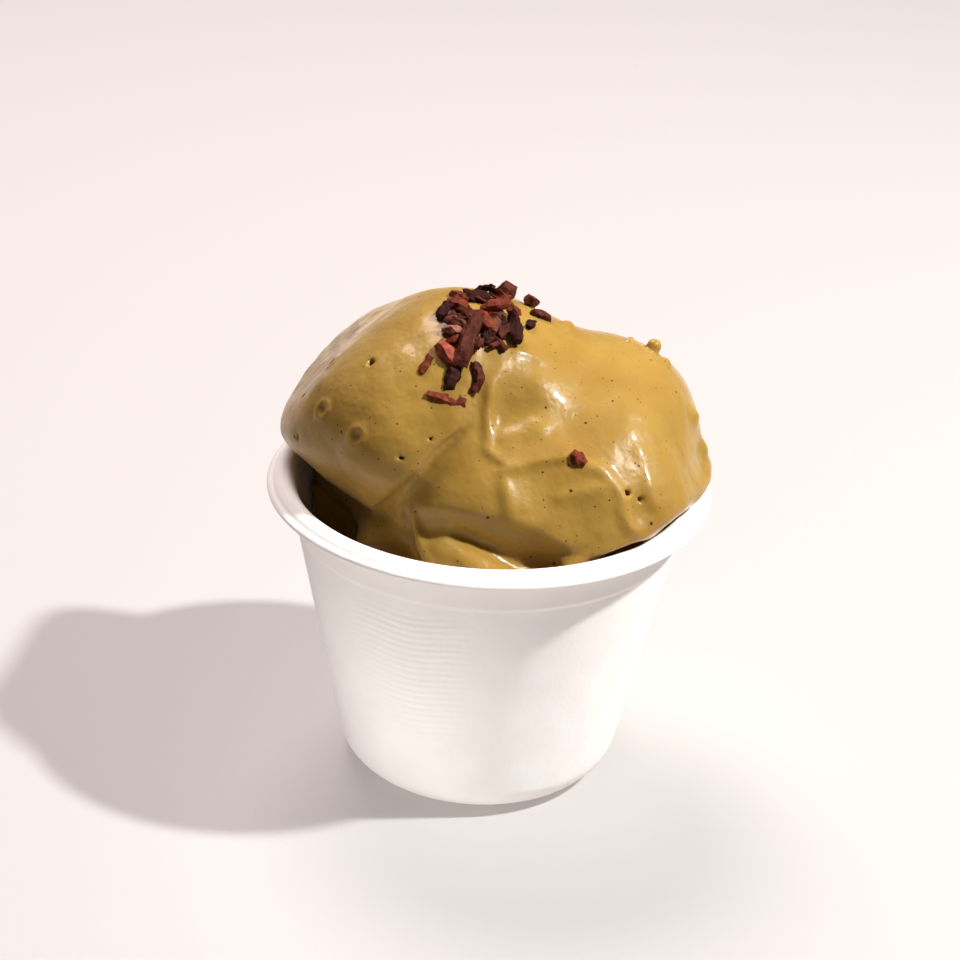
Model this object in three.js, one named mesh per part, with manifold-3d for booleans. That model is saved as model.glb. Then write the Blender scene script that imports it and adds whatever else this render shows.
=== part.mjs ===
import * as THREE from 'three';
import Module from 'manifold-3d';

// A heap of sorbet in a moulded-pulp cup, with cacao nibs on its top.
// Millimetres, +Z up. The origin is the centre of the cup's base, and -Y is the front.

// Cup
const RIM_RADIUS = 38;
const CREST_RADIUS = 35.1;
const CUP_HEIGHT = 54.5;
const TRIM_HEIGHT = 53.3;
const TRIM_THICK = 0.9;
const WALL_TOP_HEIGHT = 50;
const WALL_TOP_RADIUS = 33.8;
const WALL_SLOPE = 0.2034;
const WALL_THICK = 1.3;
const FLOOR_THICK = 1.4;
const BASE_CORNER = 7.3;
const STACK_STEP_HEIGHT = 46;
const STACK_STEP = 0.3;
const ROUND_SEGMENTS = 56;

// Sorbet
const GAP = 0.35;
const CELL = 1.95;
const FILL_TOP = 47.5;
const GRID_MIN = [-45, -36.72, 32.2];
const GRID_MAX = [44, 38, 90];
const HEART = [0, 0, 60];

// Rounded masses of the heap: centre, half sizes, then in degrees the tilt in the XZ plane
// and the turn about Z.
const BALL = { at: [-12.4, 5.5, 62.3], size: [34, 22, 15.5], tilt: -17, turn: -24 };
const LIP = { at: [-15, -4, 65], size: [11, 17, 10], tilt: -20, turn: 0 };
const CAP = { at: [-4.5, 3, 69.5], size: [20, 19, 15.7], tilt: 0, turn: 0 };
const SHOULDER = { at: [15, 4, 60], size: [20.7, 24, 17.4], tilt: 4, turn: 0 };
const CORNER = { at: [22.7, 4, 64.2], size: [9.5, 12.5, 10], tilt: 0, turn: 0 };
const FRONT = { at: [4, -13, 57], size: [21, 15, 13], tilt: 4, turn: 0 };
const CHEEK = { at: [18.5, -10.5, 54.5], size: [17, 17, 12.5], tilt: 0, turn: 0 };
const NECK = { at: [4, 4, 48], size: [28, 29, 12], tilt: 0, turn: 0 };
const LUMP = { at: [-13, -12, 45.5], size: [9, 10, 8.5], tilt: 0, turn: 0 };
const FLAP = { at: [1, -19.5, 48.5], size: [14, 11.5, 6.5], tilt: 0, turn: 0 };
const MOUND = { at: [-17, -23, 46], size: [8, 6, 4.6], tilt: 0, turn: 0 };
const BED = { at: [24, -10, 51], size: [22, 26, 6], tilt: 0, turn: 0 };
const BACK = { at: [2, 12, 50], size: [33, 24, 9], tilt: 0, turn: 0 };
const LEDGE = { at: [26, -1, 57], size: [11.8, 16, 3.6], tilt: 4, turn: 0 };

// The hollow that the scoops left free in the cup at the front left.
const POCKET = { at: [-22, -17, 50], size: [28, 14, 13.5], turn: -51.5 };
const POCKET_SEGMENTS = 24;

// The flat that the scoop left on the ball's upper left side.
const FLAT_POINT = [-26.6, 0, 73.6];
const FLAT_NORMAL = [-0.74, 0.1, 0.67];

// A cone that flares from the rim keeps the heap from lying on it.
const RIM_LIMIT = 33.8;
const RIM_LIMIT_HEIGHT = 56;
const RIM_LIMIT_SLOPE = 0.9;

// Folds: a path of [azimuth, elevation] in degrees seen from HEART, azimuth 0 at the front
// and positive to the right, then the fold's height and half width. A groove has a negative height.
const FOLDS = [
  { path: [[-50, -12], [-39, -2], [-33, 5], [-28, 12], [-24, 20], [-18, 28]], height: -1.2, width: 2 },
  { path: [[10, 65], [-2, 52], [-3, 40], [-2, 29], [5, 17]], height: 1.2, width: 2.2 },
  { path: [[3, 15], [8, 16], [16, 18], [30, 18]], height: 1.0, width: 2 },
  { path: [[5, 17], [5, 12], [6, 6], [8, 0], [13, -1], [18, 0]], height: 1.1, width: 2.2 },
  { path: [[34, 15], [39, 13], [41, 9], [42, 5], [41, 2], [42, -3], [52, -8]], height: 1.2, width: 2 },
  { path: [[55, 14], [52, 8], [50, 3], [52, 0]], height: 1.0, width: 2 },
  { path: [[-14, -6], [-9, -7], [-2, -9], [4, -11], [11, -14], [18, -14]], height: -1.5, width: 1.8 },
];
const FOLD_STEPS = 6;

// Cacao nibs: [azimuth, elevation] of the spot, the turn in degrees about the surface normal,
// [length, width, thickness], and the height of the nib's middle over the surface before it
// sinks in by NIB_SINK.
const NIBS = [
  { spot: [-115, 74], turn: 119, size: [4.4, 2.4, 1.9], lift: 0.8 },
  { spot: [-126, 80], turn: 169, size: [4.6, 3.6, 2.6], lift: 1.0 },
  { spot: [-157, 76], turn: 125, size: [5.2, 1.4, 1.3], lift: 1.5 },
  { spot: [170, 74], turn: 64, size: [3.8, 3.4, 3.2], lift: 1.6 },
  { spot: [-79, 70], turn: 73, size: [4.2, 2.3, 2.1], lift: 1.0 },
  { spot: [-82, 75], turn: 143, size: [4.2, 2.9, 2.1], lift: 1.3 },
  { spot: [-53, 71], turn: 135, size: [4.6, 2.3, 1.9], lift: 1.2 },
  { spot: [-46, 67], turn: 160, size: [3.8, 1.9, 1.6], lift: 1.2 },
  { spot: [-40, 64], turn: 31, size: [3.4, 1.7, 1.6], lift: 1.1 },
  { spot: [-37, 58], turn: 128, size: [5.2, 2.8, 2.1], lift: 1.1 },
  { spot: [-44, 50], turn: 58, size: [3.6, 2.2, 1.9], lift: 0.7 },
  { spot: [-27, 66], turn: 76, size: [9.0, 3.0, 2.3], lift: 1.7 },
  { spot: [-13, 72], turn: 78, size: [3.6, 2.0, 1.9], lift: 1.0 },
  { spot: [-4, 79], turn: 79, size: [5.2, 2.3, 2.0], lift: 1.2 },
  { spot: [-45, 78], turn: 133, size: [3.6, 2.2, 1.8], lift: 1.0 },
  { spot: [-21, 83], turn: 149, size: [4.0, 2.4, 2.0], lift: 1.0 },
  { spot: [1, 86], turn: 14, size: [7.2, 2.3, 1.9], lift: 1.5 },
  { spot: [33, 78], turn: 103, size: [7.0, 2.6, 2.3], lift: 1.5 },
  { spot: [148, 66], turn: 76, size: [3.2, 2.8, 2.6], lift: 1.1 },
  { spot: [117, 70], turn: 20, size: [4.0, 2.1, 1.8], lift: 0.8 },
  { spot: [79, 76], turn: 68, size: [2.6, 1.7, 1.5], lift: 0.6 },
  { spot: [-27, 49], turn: 82, size: [3.6, 2.9, 2.5], lift: 1.0 },
  { spot: [-14, 53], turn: 92, size: [5.0, 2.3, 1.9], lift: 0.9 },
  { spot: [-26, 41], turn: 174, size: [6.0, 2.6, 2.0], lift: 0.9 },
  { spot: [34, 17], turn: 146, size: [2.6, 2.3, 1.8], lift: 0.6 },
  { spot: [-50, 76], turn: 20, size: [4.0, 2.4, 2.2], lift: 1.4 },
  { spot: [-23, 78], turn: 110, size: [4.4, 2.6, 2.2], lift: 1.4 },
  { spot: [10, 76], turn: 60, size: [3.6, 2.2, 2.0], lift: 1.0 },
  { spot: [175, 81], turn: 150, size: [3.8, 2.6, 2.2], lift: 1.3 },
  { spot: [-35, 68], turn: 15, size: [3.4, 2.2, 1.8], lift: 0.9 },
  { spot: [2, 70], turn: 130, size: [3.0, 2.0, 1.8], lift: 0.7 },
];
const NIB_SIDES = 5;
const NIB_SEED = 7;
const NIB_SINK = 0.5;

// Colours
const CUP_COLOUR = 0xefeae4;
const SORBET_COLOUR = 0xbf9648;

const wasm = await Module();
wasm.setup();

const radians = (degrees) => (degrees * Math.PI) / 180;

// Outer radius of the tapered wall at height z.
const wallRadius = (z) => WALL_TOP_RADIUS - (WALL_TOP_HEIGHT - z) * WALL_SLOPE;

// A closed solid of revolution about Z from [radius, height] points.
// The profile starts and ends on the axis, and runs up its outside and down its inside.
function revolve(profile) {
  const points = profile.map(([r, z]) => new THREE.Vector2(r, z));
  const lathe = new THREE.LatheGeometry(points, ROUND_SEGMENTS);
  lathe.rotateX(Math.PI / 2);
  return weld(lathe);
}

// A closed ring about Z: the profile closes on itself away from the axis.
function revolveRing(profile) {
  return revolve([...profile, profile[0]]);
}

// Merges equal vertices, drops triangles without area, and returns a solid.
function weld(geometry) {
  const position = geometry.getAttribute('position');
  const index = geometry.getIndex();
  const known = new Map();
  const vertices = [];
  const map = [];
  for (let i = 0; i < position.count; i += 1) {
    const point = [position.getX(i), position.getY(i), position.getZ(i)];
    const key = point.map((value) => Math.round(value * 1e4)).join(',');
    if (!known.has(key)) {
      known.set(key, vertices.length / 3);
      vertices.push(...point);
    }
    map.push(known.get(key));
  }
  const triangles = [];
  for (let i = 0; i < index.count; i += 3) {
    const [a, b, c] = [0, 1, 2].map((corner) => map[index.getX(i + corner)]);
    if (a !== b && b !== c && c !== a) triangles.push(a, b, c);
  }
  return solid(vertices, triangles);
}

// A solid from flat lists of coordinates and triangle corners.
function solid(vertices, triangles) {
  const mesh = new wasm.Mesh({
    numProp: 3,
    vertProperties: new Float32Array(vertices),
    triVerts: new Uint32Array(triangles),
  });
  return new wasm.Manifold(mesh);
}

// Points on a circular arc in the profile plane, from one angle to another in degrees.
function arc(r, z, radius, from, to, steps) {
  const points = [];
  for (let i = 0; i <= steps; i += 1) {
    const angle = radians(from + ((to - from) * i) / steps);
    points.push([r + radius * Math.cos(angle), z + radius * Math.sin(angle)]);
  }
  return points;
}

// The corner between the flat base and the tapered wall, at a distance inside the outer surface.
function baseCorner(inset) {
  const lean = THREE.MathUtils.radToDeg(Math.atan(WALL_SLOPE));
  const radius = BASE_CORNER - inset;
  const centreHeight = BASE_CORNER;
  const wallOffset = BASE_CORNER * Math.sqrt(1 + WALL_SLOPE * WALL_SLOPE);
  const centreRadius = wallRadius(centreHeight) - wallOffset;
  return arc(centreRadius, centreHeight, radius, -90, -lean, 5);
}

// The cup's section: flat base, rounded corner, tapered wall with a stacking step, rolled rim.
function cupProfile() {
  const rollBottom = CUP_HEIGHT - 2.4;
  const inner = (z) => wallRadius(z) - WALL_THICK;
  return [
    [0, 0],
    ...baseCorner(0),
    [wallRadius(STACK_STEP_HEIGHT - 0.5), STACK_STEP_HEIGHT - 0.5],
    [wallRadius(STACK_STEP_HEIGHT) + STACK_STEP, STACK_STEP_HEIGHT + 0.3],
    [wallRadius(WALL_TOP_HEIGHT) + STACK_STEP, WALL_TOP_HEIGHT],
    [CREST_RADIUS - 0.4, rollBottom - 0.6],
    [CREST_RADIUS + 0.9, rollBottom],
    [RIM_RADIUS - 0.2, TRIM_HEIGHT - TRIM_THICK],
    [RIM_RADIUS, TRIM_HEIGHT - TRIM_THICK / 2],
    [RIM_RADIUS - 0.3, TRIM_HEIGHT],
    [RIM_RADIUS - 1.0, TRIM_HEIGHT + 0.3],
    [CREST_RADIUS + 0.9, CUP_HEIGHT - 0.25],
    [CREST_RADIUS, CUP_HEIGHT],
    [CREST_RADIUS - 0.9, CUP_HEIGHT - 0.25],
    [CREST_RADIUS - 1.7, CUP_HEIGHT - 1.1],
    [inner(WALL_TOP_HEIGHT) + 0.3, WALL_TOP_HEIGHT + 2],
    [inner(WALL_TOP_HEIGHT), WALL_TOP_HEIGHT],
    ...baseCorner(FLOOR_THICK).reverse(),
    [0, FLOOR_THICK],
  ];
}

// Inner radius of the wall less the gap to the sorbet.
const fillRadius = (z) => wallRadius(z) - WALL_THICK - GAP;

// The space that the heap leaves to the cup: the wall and rim with the gap around them,
// and everything outside the cup below its rim.
function keepOutProfile() {
  const inside = 0.1;
  const low = GRID_MIN[2] - 1;
  const far = RIM_RADIUS + 20;
  return [
    [fillRadius(low) - inside, low],
    [far, low],
    [far, TRIM_HEIGHT],
    [RIM_RADIUS + 0.6, TRIM_HEIGHT],
    [RIM_RADIUS - 0.8, TRIM_HEIGHT + 0.3 + GAP],
    [CREST_RADIUS + 1.0, CUP_HEIGHT - 0.25 + GAP],
    [CREST_RADIUS, CUP_HEIGHT + GAP],
    [CREST_RADIUS - 1.1, CUP_HEIGHT - 0.25 + GAP * 0.7],
    [CREST_RADIUS - 1.7 - GAP - inside, CUP_HEIGHT - 1.0],
    [fillRadius(WALL_TOP_HEIGHT) + 0.3 - inside, WALL_TOP_HEIGHT + 2],
    [fillRadius(WALL_TOP_HEIGHT) - inside, WALL_TOP_HEIGHT],
  ];
}

// The sorbet pressed into the cup, level at FILL_TOP.
function fillProfile() {
  return [
    [0, FLOOR_THICK + GAP],
    ...baseCorner(FLOOR_THICK + GAP),
    [fillRadius(FILL_TOP), FILL_TOP],
    [0, FILL_TOP],
  ];
}

// The hollow at the front left as a solid.
function pocket() {
  const { at, size, turn } = POCKET;
  const ball = new THREE.SphereGeometry(1, POCKET_SEGMENTS, POCKET_SEGMENTS / 2);
  ball.scale(...size);
  ball.rotateZ(radians(turn));
  ball.translate(...at);
  return weld(ball);
}

// Coordinates of a plane point on axes turned by an angle in degrees.
function turned(a, b, angle) {
  const cos = Math.cos(radians(angle));
  const sin = Math.sin(radians(angle));
  return [a * cos + b * sin, b * cos - a * sin];
}

// Signed distance, close to true near the surface, to a turned and tilted ellipsoid.
function ellipsoid(point, { at, size, tilt, turn }) {
  const offset = point.map((value, axis) => value - at[axis]);
  const [ahead, y] = turned(offset[0], offset[1], turn);
  const [x, z] = turned(ahead, offset[2], tilt);
  const local = [x, y, z];
  const near = Math.hypot(...local.map((value, axis) => value / size[axis]));
  const slope = Math.hypot(...local.map((value, axis) => value / (size[axis] * size[axis])));
  return (near * (near - 1)) / Math.max(slope, 1e-9);
}

// Union of two fields with a fillet of the given width.
function blend(a, b, width) {
  const share = Math.min(Math.max(0.5 + (0.5 * (b - a)) / width, 0), 1);
  return b * (1 - share) + a * share - width * share * (1 - share);
}

// Distance above the flat on the ball's upper left side.
function flat(point) {
  const normal = new THREE.Vector3(...FLAT_NORMAL).normalize();
  const offset = new THREE.Vector3(...point).sub(new THREE.Vector3(...FLAT_POINT));
  return offset.dot(normal);
}

// Distance outside the cone that flares from the rim.
function overRim(point) {
  const rise = Math.max(point[2] - RIM_LIMIT_HEIGHT, 0);
  const reach = Math.hypot(point[0], point[1]) - RIM_LIMIT - rise * RIM_LIMIT_SLOPE;
  return reach / Math.hypot(1, RIM_LIMIT_SLOPE);
}

// The heap without its folds: negative inside. The ball meets the right mass in a sharp crease
// at its lower left end and in a wide fillet higher up.
function heap(point) {
  let scoop = blend(ellipsoid(point, BALL), ellipsoid(point, CAP), 9);
  scoop = -blend(-scoop, -flat(point), 6);
  scoop = blend(scoop, ellipsoid(point, LIP), 8);
  let mass = blend(ellipsoid(point, SHOULDER), ellipsoid(point, CORNER), 5);
  mass = blend(mass, ellipsoid(point, FRONT), 6);
  mass = blend(mass, ellipsoid(point, CHEEK), 5);
  const fillet = THREE.MathUtils.smoothstep(point[0] + 0.6 * (point[2] - 62), -12, 6);
  let field = blend(scoop, mass, 1.2 + 5.3 * fillet);
  let under = blend(ellipsoid(point, NECK), ellipsoid(point, LUMP), 2);
  for (const lobe of [FLAP, MOUND, BED, BACK]) under = blend(under, ellipsoid(point, lobe), 2);
  field = blend(field, under, 1.2);
  field = -blend(-field, -overRim(point), 1.5);
  return blend(field, ellipsoid(point, LEDGE), 2);
}

// The unit vector from HEART towards an azimuth and elevation.
function direction([azimuth, elevation]) {
  const flatPart = Math.cos(radians(elevation));
  return new THREE.Vector3(
    Math.sin(radians(azimuth)) * flatPart,
    -Math.cos(radians(azimuth)) * flatPart,
    Math.sin(radians(elevation)),
  );
}

// The point of the heap's surface in a direction from HEART, found by halving.
function surfacePoint(spot) {
  const way = direction(spot);
  const heart = new THREE.Vector3(...HEART);
  let inside = 0;
  let outside = 60;
  for (let i = 0; i < 40; i += 1) {
    const middle = (inside + outside) / 2;
    if (heap(heart.clone().addScaledVector(way, middle).toArray()) < 0) inside = middle;
    else outside = middle;
  }
  return heart.addScaledVector(way, inside);
}

// The heap's outward normal at a point of its surface.
function surfaceNormal(point) {
  const step = 0.2;
  const slope = [0, 1, 2].map((axis) => {
    const ahead = point.toArray();
    const behind = point.toArray();
    ahead[axis] += step;
    behind[axis] -= step;
    return heap(ahead) - heap(behind);
  });
  return new THREE.Vector3(...slope).normalize();
}

// Each fold as a smooth row of points on the surface.
const foldLines = FOLDS.map(({ path, height, width }) => {
  const curve = new THREE.CatmullRomCurve3(path.map(surfacePoint));
  return { points: curve.getPoints(path.length * FOLD_STEPS), height, width };
});

// Outward displacement of the surface by the folds, fading out at their ends.
function foldHeight(point) {
  const here = new THREE.Vector3(...point);
  let total = 0;
  for (const { points, height, width } of foldLines) {
    let nearest = Infinity;
    let along = 0;
    points.forEach((spot, i) => {
      const distance = here.distanceToSquared(spot);
      if (distance < nearest) {
        nearest = distance;
        along = i / (points.length - 1);
      }
    });
    const fade = THREE.MathUtils.smoothstep(Math.min(along, 1 - along) * 4, 0, 1);
    total += height * fade * Math.exp(-nearest / (width * width));
  }
  return total;
}

const sorbetField = (point) => heap(point) - foldHeight(point);

// The surface where a field is zero, as a closed mesh on a grid of cells: one vertex in each
// cell that the surface passes, and one quad across each grid edge that it crosses.
function surfaceNet(field, low, high, cell) {
  const count = low.map((start, axis) => Math.ceil((high[axis] - start) / cell) + 1);
  const at = (i, j, k) => (k * count[1] + j) * count[0] + i;
  const step = [1, count[0], count[0] * count[1]];
  const values = new Float32Array(count[0] * count[1] * count[2]);
  for (let k = 0; k < count[2]; k += 1) {
    for (let j = 0; j < count[1]; j += 1) {
      for (let i = 0; i < count[0]; i += 1) {
        values[at(i, j, k)] = field([low[0] + i * cell, low[1] + j * cell, low[2] + k * cell]);
      }
    }
  }
  const vertices = [];
  const cellVertex = new Map();
  const triangles = [];
  for (let k = 0; k < count[2] - 1; k += 1) {
    for (let j = 0; j < count[1] - 1; j += 1) {
      for (let i = 0; i < count[0] - 1; i += 1) {
        const middle = crossingMiddle(values, at(i, j, k), step);
        if (!middle) continue;
        cellVertex.set(at(i, j, k), vertices.length / 3);
        const corner = [i, j, k];
        middle.forEach((part, axis) => vertices.push(low[axis] + (corner[axis] + part) * cell));
      }
    }
  }
  for (const index of cellVertex.keys()) {
    for (let axis = 0; axis < 3; axis += 1) {
      const across = step[(axis + 1) % 3];
      const beside = step[(axis + 2) % 3];
      const inside = values[index] < 0;
      if (inside === values[index + step[axis]] < 0) continue;
      const around = [index, index - across, index - across - beside, index - beside];
      const [a, b, c, d] = around.map((key) => cellVertex.get(key));
      if (inside) triangles.push(a, b, c, a, c, d);
      else triangles.push(a, c, b, a, d, c);
    }
  }
  return solid(vertices, triangles);
}

// The mean of the places where a cell's twelve edges cross zero, in parts of the cell.
function crossingMiddle(values, index, step) {
  const sum = [0, 0, 0];
  let crossings = 0;
  for (let axis = 0; axis < 3; axis += 1) {
    const u = (axis + 1) % 3;
    const v = (axis + 2) % 3;
    for (let side = 0; side < 4; side += 1) {
      const du = side % 2;
      const dv = side > 1 ? 1 : 0;
      const start = index + du * step[u] + dv * step[v];
      const first = values[start];
      const second = values[start + step[axis]];
      if (first < 0 === second < 0) continue;
      sum[axis] += first / (first - second);
      sum[u] += du;
      sum[v] += dv;
      crossings += 1;
    }
  }
  return crossings ? sum.map((value) => value / crossings) : null;
}

// Keeps the largest connected body of a solid.
function largestBody(whole) {
  const mesh = whole.getMesh();
  const owner = Array.from({ length: mesh.vertProperties.length / mesh.numProp }, (_, i) => i);
  const root = (i) => {
    let at = i;
    while (owner[at] !== at) at = owner[at];
    owner[i] = at;
    return at;
  };
  const corners = mesh.triVerts;
  for (let i = 0; i < corners.length; i += 3) {
    owner[root(corners[i + 1])] = root(corners[i]);
    owner[root(corners[i + 2])] = root(corners[i]);
  }
  const sizes = new Map();
  for (let i = 0; i < corners.length; i += 3) {
    const name = root(corners[i]);
    sizes.set(name, (sizes.get(name) ?? 0) + 1);
  }
  const [largest] = [...sizes].sort((a, b) => b[1] - a[1])[0];
  const kept = corners.filter((corner) => root(corner) === largest);
  return solid(mesh.vertProperties, kept);
}

// A repeatable random number between 0 and 1 (a mulberry generator).
function randomFrom(seed) {
  let state = seed;
  return () => {
    state = (state + 0x6d2b79f5) | 0;
    let mixed = Math.imul(state ^ (state >>> 15), 1 | state);
    mixed = (mixed + Math.imul(mixed ^ (mixed >>> 7), 61 | mixed)) ^ mixed;
    return ((mixed ^ (mixed >>> 14)) >>> 0) / 4294967296;
  };
}

// One nib: a broken, faceted chip with three uneven rings of corners and blunt ends.
function nib({ spot, turn, size, lift }, random) {
  const spread = (share) => 1 + share * (random() - 0.5);
  const rings = [-0.5, 0.05, 0.5];
  const girth = [0.75, 1, 0.7];
  const vertices = [];
  const triangles = [];
  rings.forEach((along, ring) => {
    for (let i = 0; i < NIB_SIDES; i += 1) {
      const angle = (2 * Math.PI * (i + 0.3 * random())) / NIB_SIDES;
      const reach = 0.5 * girth[ring] * spread(0.3);
      vertices.push(new THREE.Vector3(
        size[0] * along * spread(0.1),
        size[1] * reach * Math.cos(angle),
        size[2] * reach * Math.sin(angle),
      ));
    }
  });
  for (let ring = 0; ring < rings.length - 1; ring += 1) {
    for (let i = 0; i < NIB_SIDES; i += 1) {
      const a = ring * NIB_SIDES + i;
      const b = ring * NIB_SIDES + ((i + 1) % NIB_SIDES);
      triangles.push(a, b, b + NIB_SIDES, a, b + NIB_SIDES, a + NIB_SIDES);
    }
  }
  const last = (rings.length - 1) * NIB_SIDES;
  for (let i = 1; i < NIB_SIDES - 1; i += 1) {
    triangles.push(0, i + 1, i, last, last + i, last + i + 1);
  }
  const foot = surfacePoint(spot);
  const normal = surfaceNormal(foot);
  const place = new THREE.Matrix4().makeTranslation(foot.addScaledVector(normal, lift - NIB_SINK));
  place.multiply(new THREE.Matrix4().makeRotationFromQuaternion(
    new THREE.Quaternion().setFromUnitVectors(new THREE.Vector3(0, 0, 1), normal),
  ));
  place.multiply(new THREE.Matrix4().makeRotationZ(radians(turn)));
  vertices.forEach((vertex) => vertex.applyMatrix4(place));
  return solid(vertices.flatMap((vertex) => vertex.toArray()), triangles);
}

// A mesh of the finished solid.
function toMesh(name, body, material) {
  const mesh = body.getMesh();
  const geometry = new THREE.BufferGeometry();
  geometry.setAttribute('position', new THREE.BufferAttribute(mesh.vertProperties, 3));
  geometry.setIndex(new THREE.BufferAttribute(mesh.triVerts, 1));
  geometry.computeVertexNormals();
  const result = new THREE.Mesh(geometry, material);
  result.name = name;
  return result;
}

function makeCup() {
  const material = new THREE.MeshStandardMaterial({ color: CUP_COLOUR, roughness: 0.85, metalness: 0 });
  return toMesh('cup', revolve(cupProfile()), material);
}

function makeSorbet() {
  const fill = revolve(fillProfile()).subtract(pocket());
  const keepOut = revolveRing(keepOutProfile());
  const scoops = surfaceNet(sorbetField, GRID_MIN, GRID_MAX, CELL);
  let body = largestBody(scoops.subtract(keepOut).add(fill));
  const random = randomFrom(NIB_SEED);
  for (const chip of NIBS) body = body.add(nib(chip, random));
  const material = new THREE.MeshStandardMaterial({ color: SORBET_COLOUR, roughness: 0.35, metalness: 0 });
  return toMesh('sorbet', largestBody(body), material);
}

const dessert = new THREE.Group();
dessert.name = 'sorbet_cup';
dessert.add(makeCup(), makeSorbet());

export default dessert;
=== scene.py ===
"""A heap of mustard-yellow sorbet in a moulded-pulp cup, with cacao nibs on its top."""

import math

import bmesh
import bpy
import numpy as np
from mathutils import Matrix, Vector, noise


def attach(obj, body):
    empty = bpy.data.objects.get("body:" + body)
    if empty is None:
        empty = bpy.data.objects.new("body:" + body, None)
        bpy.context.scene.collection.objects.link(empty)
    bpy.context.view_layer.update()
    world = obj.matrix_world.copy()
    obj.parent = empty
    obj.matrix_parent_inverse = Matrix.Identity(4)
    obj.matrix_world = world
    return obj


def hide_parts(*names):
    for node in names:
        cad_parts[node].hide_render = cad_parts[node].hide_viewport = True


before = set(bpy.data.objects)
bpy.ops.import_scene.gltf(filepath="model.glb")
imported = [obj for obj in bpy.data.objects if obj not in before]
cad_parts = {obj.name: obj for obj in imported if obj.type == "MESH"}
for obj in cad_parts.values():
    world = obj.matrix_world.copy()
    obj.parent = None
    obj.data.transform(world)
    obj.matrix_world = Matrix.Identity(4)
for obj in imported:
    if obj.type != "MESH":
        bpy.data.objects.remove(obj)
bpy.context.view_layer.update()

# All sizes below are in millimetres and degrees; meshes are scaled to metres at the end.
METRES = 0.001

# Camera
CAMERA_AIM = (-1.58, 0.0, 53.06)
CAMERA_DISTANCE = 422.2
CAMERA_PITCH = 26.34
CAMERA_ROLL = 2.72
SENSOR_WIDTH = 36.0
LENS = 92.35

# Light
KEY_PLACE = (625.0, -120.0, 835.0)
KEY_AIM = (0.0, 0.0, 60.0)
KEY_SIZE = 60.0
KEY_SPREAD = 180.0
KEY_WATTS = 17.0
KEY_COLOUR = (1.0, 0.99, 0.97)
# A softer light from above and behind.
TOP_PLACE = (-200.0, 450.0, 930.0)
TOP_AIM = (0.0, 0.0, 60.0)
TOP_SIZE = 500.0
TOP_SPREAD = 180.0
TOP_WATTS = 10.5
TOP_COLOUR = (1.0, 0.89, 0.88)
# A low light in front that reaches the cup's wall but hardly the sorbet above it.
CARD_PLACE = (-115.0, -338.0, 60.0)
CARD_AIM = (-10.0, 0.0, 8.0)
CARD_SIZE = 60.0
CARD_SPREAD = 15.0
CARD_WATTS = 0.0072
CARD_COLOUR = (1.0, 0.99, 0.98)
SKY_COLOUR = (1.0, 0.89, 0.85, 1.0)
SKY_STRENGTH = 0.03
FLOOR_SIZE = 6000.0
FLOOR_GLOW = 0.27

# Cup
RIM_RADIUS = 38.0
CREST_RADIUS = 35.1
RIM_CROWN = 0.16
CUP_HEIGHT = 54.5
TRIM_HEIGHT = 53.3
TRIM_THICK = 0.9
WALL_TOP_HEIGHT = 50.0
WALL_TOP_RADIUS = 33.8
WALL_SLOPE = 0.2034
WALL_THICK = 1.3
FLOOR_THICK = 1.4
BASE_CORNER = 7.3
STACK_STEP_HEIGHT = 46.0
STACK_STEP = 0.3
CUP_SEGMENTS = 320
# Marks of the forming mesh on the wall: wavy ridges in one zone, fine dots beside them.
IMPRINT_DEPTH = 0.11
IMPRINT_PITCH = 1.3
IMPRINT_SLOPE = 0.06
IMPRINT_RIDGES = (-23.0, 17.0)
IMPRINT_DOTS = (-8.0, 8.0)
IMPRINT_WAVER = 0.35
IMPRINT_WAVER_LENGTH = 2.6
IMPRINT_DOT_SLANT = 0.6
IMPRINT_LOW = 13.0
IMPRINT_HIGH = 45.0
IMPRINT_FADE_LOW = 8.0
IMPRINT_FADE_HIGH = 3.0

# Sorbet
GAP = 0.35
CELL = 0.48
FILL_TOP = 47.5
GRID_LOW = (-42.0, -34.0, 33.0)
GRID_HIGH = (44.0, 38.0, 90.0)
NEAR_SURFACE = 4.0
PLUG_SEGMENTS = 96
# Soft unevenness of the surface: size and height, and the height over the fill where it is full.
RELIEF = ((9.0, 0.35), (3.0, 0.12))
RELIEF_FADE = 6.0
HEART = np.array((0.0, 0.0, 60.0))

# Rounded masses of the heap: centre, half sizes, tilt in the XZ plane and turn about Z.
BALL = ((-12.4, 5.5, 62.3), (34, 22, 15.5), -17, -24)
LIP = ((-15, -4, 65), (11, 17, 10), -20, 0)
CAP = ((-4.5, 3, 69.5), (20, 19, 15.7), 0, 0)
SHOULDER = ((15, 4, 60), (20.7, 24, 17.4), 4, 0)
CORNER = ((22.7, 4, 64.2), (9.5, 12.5, 10), 0, 0)
FRONT = ((4, -13, 57), (21, 15, 13), 4, 0)
CHEEK = ((18.5, -10.5, 54.5), (17, 17, 12.5), 0, 0)
NECK = ((4, 4, 48), (28, 29, 12), 0, 0)
LUMP = ((-13, -12, 45.5), (9, 10, 8.5), 0, 0)
FLAP = ((0, -20.6, 50), (13, 11.5, 6.8), -12, 0)
MOUND = ((-17, -23, 46), (8, 6, 4.6), 0, 0)
BED = ((24, -10, 51), (22, 26, 6), 0, 0)
BACK = ((2, 12, 50), (33, 24, 9), 0, 0)
LEDGE = ((26, -1, 57), (11.8, 16, 3.6), 4, 0)
# The hollow that the scoops left free in the cup at the front left.
POCKET = ((-22, -17, 50), (28, 14, 13.5), 0, -51.5)
# A cone that flares from the rim keeps the heap from lying on it.
RIM_LIMIT = 33.8
RIM_LIMIT_HEIGHT = 54.6
RIM_LIMIT_SLOPE = 0.9
# The flat that the scoop left on the ball's upper left side.
FLAT_POINT = np.array((-26.6, 0.0, 73.6))
FLAT_NORMAL = np.array((-0.74, 0.1, 0.67))

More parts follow.
